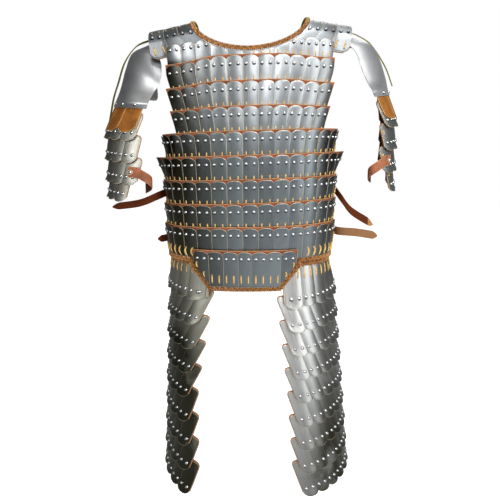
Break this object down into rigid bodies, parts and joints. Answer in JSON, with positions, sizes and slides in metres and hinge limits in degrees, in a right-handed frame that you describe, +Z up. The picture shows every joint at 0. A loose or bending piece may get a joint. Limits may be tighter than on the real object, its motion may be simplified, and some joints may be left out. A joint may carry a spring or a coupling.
{
  "type": "lamellar plate armour",
  "caption": "Worn, hollow suit of small riveted steel plates on leather bands: torso, shoulder yokes, arm guards with smooth spaulders and leg guards.",
  "frame": {"origin": "on the shoulder line, midway between the two shoulder yokes, where the wearer carries the armour", "axes": "+Z up, -Y the front, +X the viewer's right (the wearer's left)"},
  "size_m": [0.7351, 0.2908, 1.1416],
  "materials": {
    "plates": "brushed steel plates on rust-brown leather bands",
    "spaulder_steel": "smooth polished steel",
    "braid": "braided brown leather edging",
    "olive_strap": "olive leather",
    "tan_leather": "tan leather",
    "dark_leather": "dark oxblood leather"
  },
  "bodies": {
    "root": {"arm_left_row_0": "plates", "arm_left_row_1": "plates", "arm_left_row_2": "plates", "arm_left_row_3": "plates", "arm_right_row_0": "plates", "arm_right_row_1": "plates", "arm_right_row_2": "plates", "arm_right_row_3": "plates", "arm_strap_left": "olive_strap", "arm_strap_right": "olive_strap", "back_row_1": "plates", "back_row_2": "plates", "back_row_3": "plates", "back_row_4": "plates", "back_row_5": "plates", "back_row_6": "plates", "back_row_7": "plates", "back_row_8": "plates", "elbow_flap_left": "tan_leather", "elbow_flap_right": "tan_leather", "front_flap": "plates", "front_row_0": "plates", "front_row_1": "plates", "front_row_2": "plates", "front_row_3": "plates", "front_row_4": "plates", "front_row_5": "plates", "front_row_6": "plates", "front_row_7": "plates", "front_row_8": "plates", "hem_braid": "braid", "leg_left_row_0": "plates", "leg_left_row_1": "plates", "leg_left_row_2": "plates", "leg_left_row_3": "plates", "leg_left_row_4": "plates", "leg_left_row_5": "plates", "leg_left_row_6": "plates", "leg_left_row_7": "plates", "leg_left_row_8": "plates", "leg_right_row_0": "plates", "leg_right_row_1": "plates", "leg_right_row_2": "plates", "leg_right_row_3": "plates", "leg_right_row_4": "plates", "leg_right_row_5": "plates", "leg_right_row_6": "plates", "leg_right_row_7": "plates", "leg_right_row_8": "plates", "neck_braid": "braid", "shoulder_left": "plates", "shoulder_right": "plates", "spaulder_left": "spaulder_steel", "spaulder_right": "spaulder_steel", "strap_left_lower": "dark_leather", "strap_left_upper": "dark_leather", "strap_right_lower": "tan_leather", "strap_right_upper": "dark_leather", "wrist_loop_left": "tan_leather", "wrist_loop_right": "tan_leather"}
  },
  "joints": []
}
